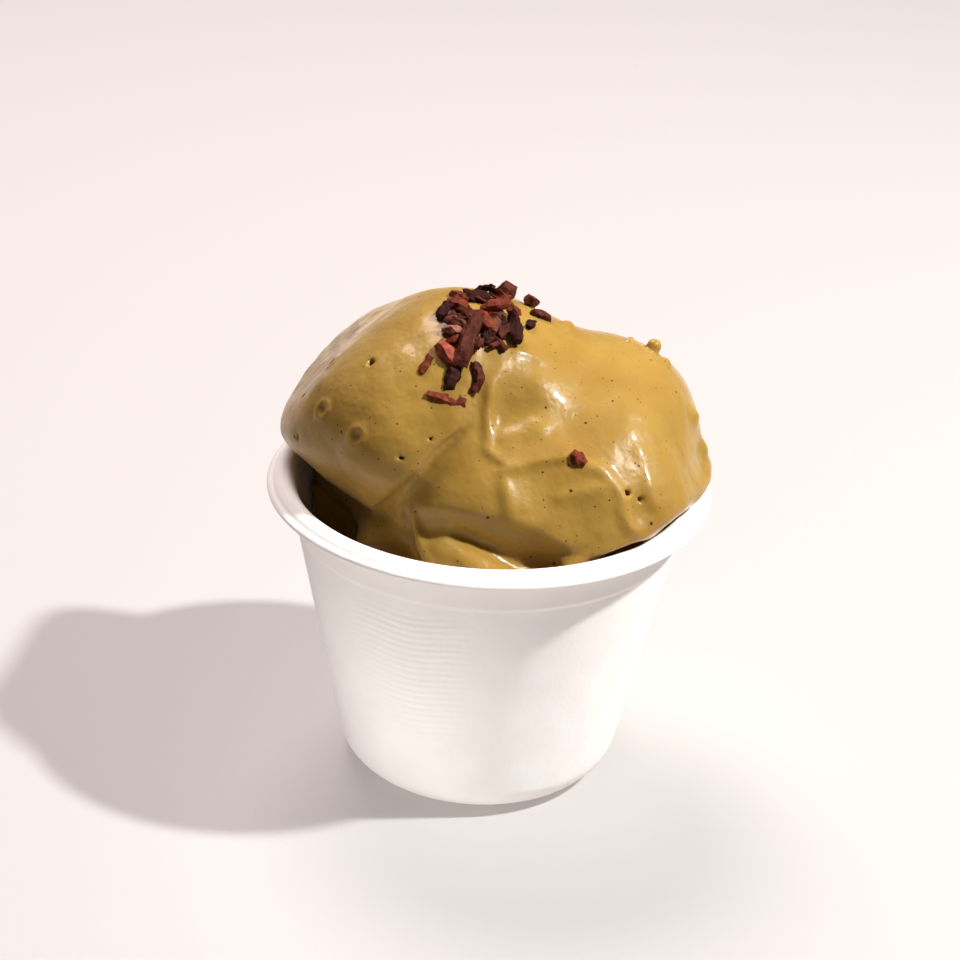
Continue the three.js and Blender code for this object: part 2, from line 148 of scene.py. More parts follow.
# Widths of the fillets where the masses meet.
CAP_FILLET = 9.0
FLAT_FILLET = 6.0
LIP_FILLET = 8.0
CORNER_FILLET = 5.0
FRONT_FILLET = 6.0
CHEEK_FILLET = 5.0
UNDER_FILLET = 2.0
NECK_FILLET = 1.2
RIM_FILLET = 1.5
LEDGE_FILLET = 2.0
FILL_FILLET = 1.5
# The ball and the right mass meet in a crease that widens from the lower left to the upper right.
CREASE_FILLET = 1.2
CREASE_WIDENING = 5.3
CREASE_RUN = (-12.0, 6.0)
CREASE_LEAN = 0.6
CREASE_HEIGHT = 62.0

# Overlapping layers: the name of the angle that crosses the edge, the edge as spots of
# (azimuth, elevation) seen from HEART with azimuth 0 at the front and positive to the right,
# then the layer's height, the width of the drop at its edge and how far it reaches behind it.
LAYERS = {
    "ball": ("elevation", ((-60, -24), (-50, -12), (-39, -2), (-33, 5), (-28, 12), (-24, 20),
                           (-18, 28), (-10, 36)), 0.9, 0.6, 14.0),
    "right_mass": ("azimuth", ((14, -3), (8, 0), (6, 6), (5, 12), (5, 17), (-1, 22), (-2, 29),
                               (-3, 40), (-2, 52), (10, 65)), 0.5, 0.9, 7.0),
    "brow": ("elevation", ((3, 15), (8, 16), (16, 18), (30, 18), (38, 16)), 0.7, 0.8, 4.0),
    "overhang": ("elevation", ((-34, -6), (-29, -4), (-17, -1), (-6, 0), (4, -1), (11, -2), (19, -6),
                               (26, -9), (36, -8), (44, -7), (56, -6)), 0.9, 1.4, 7.0),
}
# Rope-like folds and grooves: a path of spots, then the height and half width.
FOLDS = {
    "crease": (((-56, -20), (-50, -12), (-39, -3), (-33, 4), (-28, 11), (-24, 19), (-18, 27), (-10, 35)),
               -0.9, 0.8),
    "crest": (((10, 65), (-2, 52), (-3, 40), (-2, 29), (-1, 22), (5, 17)), 0.7, 0.9),
    "brow_edge": (((2, 17), (5, 15), (11, 16), (20, 18), (30, 18)), 0.5, 0.8),
    "cheek": (((5, 17), (5, 12), (6, 6), (8, 0), (13, -1), (18, 0)), 1.0, 0.9),
    "wrinkle_low": (((20, 5), (28, 7), (36, 8), (40, 7)), 0.6, 1.2),
    "wrinkle_left": (((30, 16), (34, 15), (39, 13), (41, 9), (42, 5), (41, 2), (42, -3), (52, -8),
                      (63, -7)), 1.0, 1.0),
    "wrinkle_right": (((55, 18), (55, 14), (52, 8), (50, 3), (52, 0)), 0.6, 1.0),
    "soft_fold": (((-1, 27), (13, 30), (33, 31)), 0.5, 1.8),
    "loop": (((13, 67), (30, 67), (42, 63), (42, 57)), 0.5, 0.9),
    "undercut": (((-14, -6), (-9, -7), (-2, -9), (4, -11), (11, -14), (18, -14), (26, -15)), -3.4, 1.2),
    "flap_top": (((-11, -11), (-6, -12), (1, -14), (8, -15), (14, -16)), 0.5, 1.1),
    "flap_lip": (((-34, 0), (-29, -6), (-22, -13), (-16, -16), (-10, -16)), 1.1, 0.8),
    "behind_lip": (((-37, -3), (-32, -9), (-28, -17), (-19, -18)), -2.6, 1.5),
}
FOLD_STEPS = 6
# Wide hollows and, with a depth below 0, swells: spot, radius, depth.
HOLLOWS = (
    ((38, 49), 4.5, -0.8),
    ((62, 20), 6.0, -0.9),
    ((57, 8), 5.0, -0.9),
    ((8, 45), 4.5, 0.9),
    ((8, 30), 4.0, 0.7),
    ((16, 11), 4.5, 1.1),
    ((29, 1), 4.5, 0.9),
    ((46, 1), 3.0, 0.7),
)

# Round holes left by air: spot, radius, depth.
HOLES = (
    ((-68, 39), 0.65, 2.0),
    ((44, 6), 0.5, 1.2),
    ((47, 4), 0.5, 1.2),
    ((-88, 14), 0.4, 0.6),
    ((-78, 5), 0.4, 0.6),
    ((-34, 15), 0.4, 0.6),
    ((-27, 24), 0.35, 0.5),
)
# Shallow marks with a raised rim: spot, radius, depth.
DIMPLES = (
    ((-70, 18), 1.1, 0.5),
    ((-51, 17), 1.2, 0.5),
    ((-92, 26), 0.9, 0.4),
)
# Height of a mark's rim as a share of its depth, and its place and half width in radii.
DIMPLE_RIM = 0.7
DIMPLE_RIM_PLACE = 1.3
DIMPLE_RIM_WIDTH = 0.4
# Small drops and crags on the edge of the heap: spot, radius, height of the centre, fillet.
DROPS = (
    ((108, 28), 1.35, 0.9, 0.7),
    ((100, 26), 1.0, 0.0, 1.2),
    ((110, 34), 0.75, 0.3, 0.8),
    ((121, 54), 0.9, -0.1, 1.0),
    ((89, 12), 1.3, -0.5, 1.6),
    ((91, 1), 1.5, -0.5, 1.6),
)

# Cacao nibs: spot, turn about the surface normal, (length, width, thickness), height of the
# middle over the surface before it sinks in by NIB_SINK, lean of the long axis, and tone.
NIBS = {
    "back_left": ((-115, 74), 119, (4.4, 2.4, 1.9), 0.8, 0, "red"),
    # The under_stick chip fills the dark gap under the stick: its near-black tone is partly the chip's
    # own dark colour and partly painted shade.
    "under_stick": ((-126, 80), 169, (4.6, 3.6, 2.6), 1.0, 0, "dark"),
    "stick": ((-157, 76), 125, (5.2, 1.4, 1.3), 1.5, 25, "dark"),
    "back_chunk": ((170, 74), 64, (3.8, 3.4, 3.2), 1.6, 0, "brown"),
    "left_dark": ((-79, 70), 73, (4.2, 2.3, 2.1), 1.0, 0, "dark"),
    "left_lit": ((-82, 75), 143, (4.2, 2.9, 2.1), 1.3, 0, "red"),
    "grey": ((-53, 71), 135, (4.6, 2.3, 1.9), 1.2, 0, "grey"),
    "pale": ((-46, 67), 160, (3.8, 1.9, 1.6), 1.2, 0, "pale"),
    "small_red": ((-40, 64), 31, (3.4, 1.7, 1.6), 1.1, 0, "red"),
    "pink": ((-37, 58), 128, (5.2, 2.8, 2.1), 1.1, 0, "pink"),
    "apart_red": ((-44, 50), 58, (3.6, 2.2, 1.9), 0.7, 0, "red"),
    "longest": ((-27, 66), 76, (9.0, 3.0, 2.3), 1.7, 0, "brown"),
    "small_dark": ((-13, 72), 78, (3.6, 2.0, 1.9), 1.0, 0, "dark"),
    "middle": ((-4, 79), 79, (5.2, 2.3, 2.0), 1.2, 0, "grey"),
    "filler_left": ((-45, 78), 133, (3.6, 2.2, 1.8), 1.0, 0, "dark"),
    "filler_right": ((-21, 83), 149, (4.0, 2.4, 2.0), 1.0, 0, "red"),
    "arch": ((1, 86), 14, (7.2, 2.3, 1.9), 1.5, 0, "red"),
    "long_dark": ((33, 78), 103, (7.0, 2.6, 2.3), 1.5, 0, "dark"),
    "right_chunk": ((148, 66), 76, (3.2, 2.8, 2.6), 1.1, 0, "brown"),
    "right_flat": ((117, 70), 20, (4.0, 2.1, 1.8), 0.8, 0, "brown"),
    "right_small": ((79, 76), 68, (2.6, 1.7, 1.5), 0.6, 0, "dark"),
    "low_chunk": ((-27, 49), 82, (3.6, 2.9, 2.5), 1.0, 0, "dark"),
    "comma": ((-14, 53), 92, (5.0, 2.3, 1.9), 0.9, 0, "brown"),
    "lowest": ((-26, 41), 174, (6.0, 2.6, 2.0), 0.9, 0, "red"),
    "crumb": ((34, 17), 146, (2.6, 2.3, 1.8), 1.2, 0, "red"),
    "upper_left": ((-50, 76), 20, (4.0, 2.4, 2.2), 1.4, 0, "brown"),
    "upper_middle": ((-23, 78), 110, (4.4, 2.6, 2.2), 1.4, 0, "red"),
    "upper_right": ((10, 76), 60, (3.6, 2.2, 2.0), 1.0, 0, "brown"),
    "upper_back": ((175, 81), 150, (3.8, 2.6, 2.2), 1.3, 0, "red"),
    "between": ((-35, 68), 15, (3.4, 2.2, 1.8), 0.9, 0, "dark"),
    "beside": ((2, 70), 130, (3.0, 2.0, 1.8), 0.7, 0, "brown"),
}
# Bent nibs: sideways and upward rise of the middle.
NIB_BENDS = {"arch": (0.0, 1.5), "comma": (-0.8, 0.0), "lowest": (0.3, 0.0)}
NIB_SIDES = 5
NIB_STATIONS = 4
NIB_TAPER = 0.3
NIB_TAPER_POWER = 2.5
# How far a chip's corners stray: round its axis in sides, outwards as a factor, along in half lengths.
NIB_TWIST = 0.3
NIB_REACH = (0.8, 1.2)
NIB_SHIFT = 0.16
NIB_SINK = 0.5
NIB_SEED = 7
# Height and size of the crags on a chip's broken faces.
NIB_CRAGS = 0.26
NIB_CRAG_SIZE = 0.9
# Crumbs between the chips of the pile: how many, how many degrees round a chip's spot, length,
# width and thickness as shares of it, height as a factor on the chip's, lean and tones.
CRUMBS = 24
CRUMB_REACH = 4.0
CRUMB_LENGTH = (1.3, 2.6)
CRUMB_WIDTH = (0.5, 0.8)
CRUMB_THICKNESS = (0.4, 0.7)
CRUMB_LIFT = (0.4, 1.3)
CRUMB_LEAN = 30.0
CRUMB_TONES = ("dark", "brown", "brown", "red")
CRUMB_HOSTS = ("under_stick", "left_lit", "grey", "longest", "small_dark", "middle", "filler_left",
               "filler_right", "arch", "long_dark", "upper_middle", "upper_right", "between")
NIB_TONES = {
    "dark": (0.028, 0.008, 0.005),
    "brown": (0.075, 0.019, 0.011),
    "red": (0.140, 0.029, 0.014),
    "grey": (0.105, 0.037, 0.025),
    "pink": (0.260, 0.062, 0.037),
    "pale": (0.270, 0.115, 0.078),
}
# Factors on a chip's tone in its dark and light patches.
NIB_SHADE_LOW = (0.45, 0.4, 0.4, 1.0)
NIB_SHADE_HIGH = (1.5, 1.4, 1.3, 1.0)

# Sorbet's finish: dark specks by spacing and largest radius, bumps by size and height, tiny bubbles.
SPECKS = ((2.2, 0.34), (0.9, 0.17))
SORBET_WAVES = ((0.9, 0.04), (1.6, 0.07), (3.6, 0.17))
BUBBLE_SPACING = 0.8
BUBBLE_RADIUS = 0.25
BUBBLE_HEIGHT = 0.05

# Colours, linear
SORBET_LIGHT = (0.36, 0.219, 0.044, 1.0)
SORBET_DEEP = (0.32, 0.182, 0.033, 1.0)
SHEEN_COLOUR = (1.0, 0.86, 0.78, 1.0)
SPECK_COLOUR = (0.06, 0.026, 0.008, 1.0)
CUP_LIGHT = (0.92, 0.885, 0.860, 1.0)
CUP_DEEP = (0.89, 0.850, 0.822, 1.0)
FLOOR_COLOUR = (0.34, 0.33, 0.322, 1.0)
FLOOR_GLOW_COLOUR = (1.0, 0.88, 0.83, 1.0)


def unit(vector):
    vector = np.asarray(vector, float)
    return vector / np.linalg.norm(vector)


# Field of the heap

def ellipsoid(points, lobe):
    """Signed distance, close to true near the surface, to a tilted ellipsoid."""
    centre, size, tilt, turn = lobe
    local = points - np.array(centre, float)
    for angle, up in ((turn, 1), (tilt, 2)):
        cos = math.cos(math.radians(angle))
        sin = math.sin(math.radians(angle))
        turned = local.copy()
        turned[:, 0] = local[:, 0] * cos + local[:, up] * sin
        turned[:, up] = local[:, up] * cos - local[:, 0] * sin
        local = turned
    size = np.array(size, float)
    near = np.sqrt(((local / size) ** 2).sum(1))
    slope = np.sqrt(((local / size ** 2) ** 2).sum(1))
    return near * (near - 1) / np.maximum(slope, 1e-9)


def blend(a, b, width):
    """Union of two fields with a fillet of the given width."""
    share = np.clip(0.5 + 0.5 * (b - a) / width, 0, 1)
    return b * (1 - share) + a * share - width * share * (1 - share)


def smoothstep(value, low, high):
    share = np.clip((value - low) / (high - low), 0, 1)
    return share * share * (3 - 2 * share)


def heap(points):
    """The heap without its folds: negative inside."""
    scoop = blend(ellipsoid(points, BALL), ellipsoid(points, CAP), CAP_FILLET)
    flat = (points - FLAT_POINT) @ unit(FLAT_NORMAL)
    scoop = -blend(-scoop, -flat, FLAT_FILLET)
    scoop = blend(scoop, ellipsoid(points, LIP), LIP_FILLET)
    mass = blend(ellipsoid(points, SHOULDER), ellipsoid(points, CORNER), CORNER_FILLET)
    mass = blend(mass, ellipsoid(points, FRONT), FRONT_FILLET)
    mass = blend(mass, ellipsoid(points, CHEEK), CHEEK_FILLET)
    along_crease = points[:, 0] + CREASE_LEAN * (points[:, 2] - CREASE_HEIGHT)
    field = blend(scoop, mass, CREASE_FILLET + CREASE_WIDENING * smoothstep(along_crease, *CREASE_RUN))
    under = ellipsoid(points, NECK)
    for lobe in (LUMP, FLAP, MOUND, BED, BACK):
        under = blend(under, ellipsoid(points, lobe), UNDER_FILLET)
    field = blend(field, under, NECK_FILLET)
    field = -blend(-field, -over_rim(points), RIM_FILLET)
    return blend(field, ellipsoid(points, LEDGE), LEDGE_FILLET)


def over_rim(points):
    """Positive outside a flaring cone that keeps the heap off the rim."""
    radius = np.hypot(points[:, 0], points[:, 1])
    rise = np.maximum(points[:, 2] - RIM_LIMIT_HEIGHT, 0)
    return (radius - RIM_LIMIT - rise * RIM_LIMIT_SLOPE) / math.hypot(1, RIM_LIMIT_SLOPE)


def direction(spot):
    """Unit vector from HEART towards an azimuth and elevation."""
    azimuth, elevation = (math.radians(angle) for angle in spot)
    flat = math.cos(elevation)
    return np.array((math.sin(azimuth) * flat, -math.cos(azimuth) * flat, math.sin(elevation)))


def surface_point(spot):
    """The heap's surface in a direction from HEART, found by halving."""
    way = direction(spot)
    inside, outside = 0.0, 60.0
    for _ in range(40):
        middle = (inside + outside) / 2
        if heap((HEART + way * middle)[None])[0] < 0:
            inside = middle
        else:
            outside = middle
    return HEART + way * inside


def surface_normal(point):
    step = 0.2 * np.eye(3)
    return unit(heap(point + step) - heap(point - step))


def catmull_rom(points, steps):
    """A smooth line through points, with a number of steps from each to the next."""
    points = np.array(points, float)
    padded = np.vstack((2 * points[0] - points[1], points, 2 * points[-1] - points[-2]))
    line = []
    for a, b, c, d in zip(padded, padded[1:], padded[2:], padded[3:]):
        for t in np.arange(steps) / steps:
            line.append(0.5 * (2 * b + (c - a) * t + (2 * a - 5 * b + 4 * c - d) * t * t
                               + (3 * b - a - 3 * c + d) * t ** 3))
    return np.array(line + [points[-1]])


def smooth_line(path):
    """The line on the surface through the spots of a path."""
    return catmull_rom([surface_point(spot) for spot in path], FOLD_STEPS)


def fold_height(points, line, height, width):
    """Outward displacement by one fold, fading out at its ends."""
    middle = line.mean(0)
    reach = np.linalg.norm(line - middle, axis=1).max() + 3 * width
    near = np.linalg.norm(points - middle, axis=1) < reach
    some = points[near]
    nearest = np.full(len(some), np.inf)
    along = np.zeros(len(some))
    for i, (start, end) in enumerate(zip(line, line[1:])):
        way = end - start
        t = np.clip((some - start) @ way / (way @ way), 0, 1)
        distance = ((some - start - t[:, None] * way) ** 2).sum(1)
        closer = distance < nearest
        nearest = np.where(closer, distance, nearest)
        along = np.where(closer, (i + t) / (len(line) - 1), along)
    fade = np.clip(np.minimum(along, 1 - along) * 4, 0, 1)
    fade = fade * fade * (3 - 2 * fade)
    result = np.zeros(len(points))
    result[near] = height * fade * np.exp(-nearest / width ** 2)
    return result


def sphere(points, centre, radius):
    return np.linalg.norm(points - centre, axis=1) - radius


def capsule(points, start, end, radius):
    way = end - start
    share = np.clip((points - start) @ way / (way @ way), 0, 1)
    return np.linalg.norm(points - start - share[:, None] * way, axis=1) - radius


def off_surface(spot, height):
    """A point at a height over the heap's surface."""
    foot = surface_point(spot)
    return foot + surface_normal(foot) * height


fold_lines = [(smooth_line(path), height, width) for path, height, width in FOLDS.values()]
drop_centres = [(off_surface(spot, height), radius, fillet) for spot, radius, height, fillet in DROPS]
hollow_centres = [(surface_point(spot), radius, depth) for spot, radius, depth in HOLLOWS]
dimple_centres = [(surface_point(spot), radius, depth) for spot, radius, depth in DIMPLES]
hole_ends = [(off_surface(spot, radius), off_surface(spot, -depth), radius)
             for spot, radius, depth in HOLES]


def layer_height(points, across, edge, height, drop, reach):
    """Outward displacement by a layer that ends in a steep edge."""
    offset = points - HEART
    flat = np.hypot(offset[:, 0], offset[:, 1])
    azimuth = np.degrees(np.arctan2(offset[:, 0], -offset[:, 1]))
    elevation = np.degrees(np.arctan2(offset[:, 2], flat))
    edge_azimuth, edge_elevation = np.array(edge, float).T
    if across == "azimuth":
        along = elevation
        ends = edge_elevation
        behind = np.radians(azimuth - np.interp(elevation, edge_elevation, edge_azimuth)) * flat
    else:
        along = azimuth
        ends = edge_azimuth
        distance = np.hypot(flat, offset[:, 2])
        behind = np.radians(elevation - np.interp(azimuth, edge_azimuth, edge_elevation)) * distance
    share = (along - ends[0]) / (ends[-1] - ends[0])
    fade = smoothstep(np.minimum(share, 1 - share), 0, 0.2)
    return height * fade * smoothstep(behind, -drop, drop) * np.exp(-np.maximum(behind, 0) / reach)


def add_marks(points, field):
    """Layers, folds, hollows, drops, dimples and air holes on the heap."""
    for layer in LAYERS.values():
        field = field - layer_height(points, *layer)
    for line, height, width in fold_lines:
        field = field - fold_height(points, line, height, width)
    for centre, radius, depth in hollow_centres:
        distance = np.linalg.norm(points - centre, axis=1) / radius
        field = field + depth * np.exp(-distance ** 2)
    for centre, radius, fillet in drop_centres:
        field = blend(field, sphere(points, centre, radius), fillet)
    for centre, radius, depth in dimple_centres:
        distance = np.linalg.norm(points - centre, axis=1) / radius
        rim = DIMPLE_RIM * np.exp(-((distance - DIMPLE_RIM_PLACE) / DIMPLE_RIM_WIDTH) ** 2)
        field = field + depth * (np.exp(-distance ** 2) - rim)
    for start, end, radius in hole_ends:
        field = np.maximum(field, -capsule(points, start, end, radius))
    return field


def wall_radius(z):
    """Outer radius of the cup's tapered wall."""
    return WALL_TOP_RADIUS - (WALL_TOP_HEIGHT - z) * WALL_SLOPE


def room_in_cup(points):
    """Positive where the cup leaves room: inside its wall, or above its rim."""
    radius = np.hypot(points[:, 0], points[:, 1])
    height = points[:, 2]
    inside = wall_radius(height) - WALL_THICK - GAP - radius
    rim_top = CUP_HEIGHT - RIM_CROWN * (np.minimum(radius, RIM_RADIUS) - CREST_RADIUS) ** 2
    return np.maximum(inside, height - rim_top - GAP)


def sorbet_fill(points):
    """The sorbet pressed into the cup, level but for the hollow at the front left."""
    return np.maximum(points[:, 2] - FILL_TOP, -ellipsoid(points, POCKET))


def sorbet_values(points):
    """Field of the finished sorbet above the lowest grid layer."""
    field = heap(points)
    near = np.abs(field) < NEAR_SURFACE
    field[near] = add_marks(points[near], field[near])
    field = blend(field, sorbet_fill(points), FILL_FILLET)
    return np.maximum(field, -room_in_cup(points))


# Meshes

def sample_grid(low, high, cell):
    """The field on a grid, closed at the bottom layer."""
    axes = [np.arange(a, b, cell) for a, b in zip(low, high)]
    values = np.empty([len(axis) for axis in axes], np.float32)
    for k, z in enumerate(axes[2]):
        x, y = np.meshgrid(axes[0], axes[1], indexing="ij")
        points = np.stack((x.ravel(), y.ravel(), np.full(x.size, z)), axis=1)
        values[:, :, k] = sorbet_values(points).reshape(x.shape)
    values[:, :, 0] = cell
    return values


def surface_net(values, low, cell):
    """Closed mesh of the zero surface: one vertex in each crossed cell, one quad on each crossed edge."""
    inside = values < 0
    shape = np.array(values.shape)
    count = sum(
        inside[i:shape[0] - 1 + i, j:shape[1] - 1 + j, k:shape[2] - 1 + k].astype(np.uint8)
        for i in (0, 1) for j in (0, 1) for k in (0, 1))
    crossed = (count > 0) & (count < 8)
    cells = np.argwhere(crossed)
    number = np.full(crossed.shape, -1, np.int64)
    number[crossed] = np.arange(len(cells))
    total = np.zeros((len(cells), 3))
    crossings = np.zeros(len(cells))
    for axis in range(3):
        for du in (0, 1):
            for dv in (0, 1):
                offset = np.zeros(3, int)
                offset[(axis + 1) % 3] = du
                offset[(axis + 2) % 3] = dv
                start = cells + offset
                first = values[tuple(start.T)]
                start[:, axis] += 1
                second = values[tuple(start.T)]
                cross = (first < 0) != (second < 0)
                place = np.repeat(offset[None].astype(float), len(cells), 0)
                place[:, axis] = first / np.where(cross, first - second, 1)
                total += place * cross[:, None]
                crossings += cross
    vertices = np.array(low) + (cells + total / crossings[:, None]) * cell
    quads = [edge_quads(inside, number, axis) for axis in range(3)]
    return vertices, np.vstack(quads)


def edge_quads(inside, number, axis):
    """Quads round the grid edges along one axis that the surface crosses."""
    u, v = (axis + 1) % 3, (axis + 2) % 3
    size = inside.shape[axis]
    first = np.take(inside, range(size - 1), axis)
    second = np.take(inside, range(1, size), axis)
    edges = np.argwhere(first != second)
    starts_inside = first[tuple(edges.T)]
    back_u = np.eye(3, dtype=int)[u]
    back_v = np.eye(3, dtype=int)[v]
    around = [edges, edges - back_u, edges - back_u - back_v, edges - back_v]
    quads = np.stack([number[tuple(corner.T)] for corner in around], axis=1)
    return np.where(starts_inside[:, None], quads, quads[:, ::-1])


def revolve(profile, segments):
    """Vertices and faces of a solid of revolution whose profile starts and ends on the axis."""
    angles = np.arange(segments) * 2 * math.pi / segments
    ring = np.stack((np.cos(angles), np.sin(angles)), axis=1)
    vertices = [(0.0, 0.0, profile[0][1])]
    for radius, height in profile[1:-1]:
        vertices += [(radius * x, radius * y, height) for x, y in ring]
    vertices.append((0.0, 0.0, profile[-1][1]))
    last = len(vertices) - 1
    faces = []
    for i in range(segments):
        j = (i + 1) % segments
        faces.append((0, 1 + j, 1 + i))
        for row in range(len(profile) - 3):
            low = 1 + row * segments
            faces.append((low + i, low + j, low + segments + j, low + segments + i))
        top = last - segments
        faces.append((top + i, top + j, last))
    return np.array(vertices), faces


def arc(radius, height, size, start, end, steps):
    """Points on a circular arc in the profile plane."""
    angles = np.radians(np.linspace(start, end, steps + 1))
    return [(radius + size * math.cos(a), height + size * math.sin(a)) for a in angles]


def base_corner(inset, steps):
    """Rounded corner between base and wall, at a distance inside the outer surface."""
    lean = math.degrees(math.atan(WALL_SLOPE))
    centre = wall_radius(BASE_CORNER) - BASE_CORNER * math.hypot(1, WALL_SLOPE)
    return arc(centre, BASE_CORNER, BASE_CORNER - inset, -90, -lean, steps)


def smooth_profile(points, steps):
    """Profile points on a smooth line through the given ones."""
    return [tuple(point) for point in catmull_rom(points, steps)]


def wall_line(low, high, offset, steps):
    """Points up the tapered wall, at an offset from its outer surface."""
    return [(wall_radius(z) + offset, z) for z in np.linspace(low, high, steps)]


def cup_profile():
    """Flat base, rounded corner, tapered wall with a stacking step, rolled rim with a trim edge."""
    roll_bottom = CUP_HEIGHT - 2.4
    inner_top = wall_radius(WALL_TOP_HEIGHT) - WALL_THICK
    rim = smooth_profile((
        (wall_radius(WALL_TOP_HEIGHT) + STACK_STEP, WALL_TOP_HEIGHT),
        (CREST_RADIUS - 0.4, roll_bottom - 0.6),
        (CREST_RADIUS + 0.9, roll_bottom),
        (RIM_RADIUS - 0.3, TRIM_HEIGHT - TRIM_THICK),
        (RIM_RADIUS, TRIM_HEIGHT - TRIM_THICK / 2),
        (RIM_RADIUS - 0.35, TRIM_HEIGHT),
        (RIM_RADIUS - 1.0, TRIM_HEIGHT + 0.15),
        (RIM_RADIUS - 1.5, TRIM_HEIGHT + 0.65),
        (CREST_RADIUS + 0.6, CUP_HEIGHT - 0.08),
        (CREST_RADIUS, CUP_HEIGHT),
        (CREST_RADIUS - 0.9, CUP_HEIGHT - 0.25),
        (CREST_RADIUS - 1.7, CUP_HEIGHT - 1.1),
        (inner_top + 0.3, WALL_TOP_HEIGHT + 2),
        (inner_top, WALL_TOP_HEIGHT),
    ), 4)
    step = smooth_profile((
        (wall_radius(STACK_STEP_HEIGHT - 1.0), STACK_STEP_HEIGHT - 1.0),
        (wall_radius(STACK_STEP_HEIGHT - 0.4) + 0.03, STACK_STEP_HEIGHT - 0.4),
        (wall_radius(STACK_STEP_HEIGHT + 0.3) + STACK_STEP, STACK_STEP_HEIGHT + 0.3),
        (wall_radius(STACK_STEP_HEIGHT + 1.0) + STACK_STEP, STACK_STEP_HEIGHT + 1.0),
    ), 3)
    corner_top = BASE_CORNER + 1
    return (
        [(0.0, 0.0)]
        + base_corner(0, 14)
        + wall_line(corner_top, STACK_STEP_HEIGHT - 1.5, 0, 110)
        + step
        + rim
        + wall_line(WALL_TOP_HEIGHT - 1, corner_top, -WALL_THICK, 12)
        + base_corner(FLOOR_THICK, 8)[::-1]
        + [(0.0, FLOOR_THICK)]
    )


def imprint(vertices):
    """Presses the marks of the forming mesh into the cup's outer wall."""
    x, y, z = vertices.T
    radius = np.hypot(x, y)
    azimuth = np.degrees(np.arctan2(x, -y))
    outer = radius > wall_radius(z) - WALL_THICK / 2
    across = np.radians(azimuth) * radius
    turn = 2 * math.pi / IMPRINT_PITCH
    waver = IMPRINT_WAVER * np.sin(across / IMPRINT_WAVER_LENGTH)
    ridges = np.cos(turn * (z - IMPRINT_SLOPE * across + waver))
    slant = IMPRINT_DOT_SLANT * across
    dots = np.cos(turn * (z + slant)) * np.cos(turn * (z - slant))
    wave = sum(pattern * np.exp(-((azimuth - middle) / spread) ** 2)
               for pattern, (middle, spread) in ((ridges, IMPRINT_RIDGES), (dots, IMPRINT_DOTS)))
    fade = smoothstep(z, IMPRINT_LOW, IMPRINT_LOW + IMPRINT_FADE_LOW)
    fade = fade * (1 - smoothstep(z, IMPRINT_HIGH - IMPRINT_FADE_HIGH, IMPRINT_HIGH))
    push = 1 + IMPRINT_DEPTH * wave * fade * outer / np.maximum(radius, 1)
    return np.stack((x * push, y * push, z), axis=1)


def make_object(name, vertices, faces, material):
    """A smooth-shaded mesh object in metres."""
    mesh = bpy.data.meshes.new(name)
    mesh.from_pydata((np.asarray(vertices) * METRES).tolist(), [], [tuple(face) for face in faces])
    mesh.validate()
    mesh.polygons.foreach_set("use_smooth", [True] * len(mesh.polygons))
    mesh.materials.append(material)
    mesh.update()
    result = bpy.data.objects.new(name, mesh)
    bpy.context.scene.collection.objects.link(result)
    return result


def roughen(vertices, normals, size, height):
    """Moves vertices along their normals by smooth noise."""
    amount = [noise.noise(Vector(vertex / size)) for vertex in vertices]
    return vertices + normals * (np.array(amount) * height)[:, None]


def vertex_normals(vertices, quads):
    across = np.cross(vertices[quads[:, 2]] - vertices[quads[:, 0]],
                      vertices[quads[:, 3]] - vertices[quads[:, 1]])
    normals = np.zeros_like(vertices)
    for corner in range(4):
        np.add.at(normals, quads[:, corner], across)
    return normals / np.maximum(np.linalg.norm(normals, axis=1), 1e-12)[:, None]


# Materials

# Places of the colour sockets on a Mix node, whose names are shared with its other kinds.
MIX_FIRST = 6
MIX_SECOND = 7
MIX_RESULT = 2


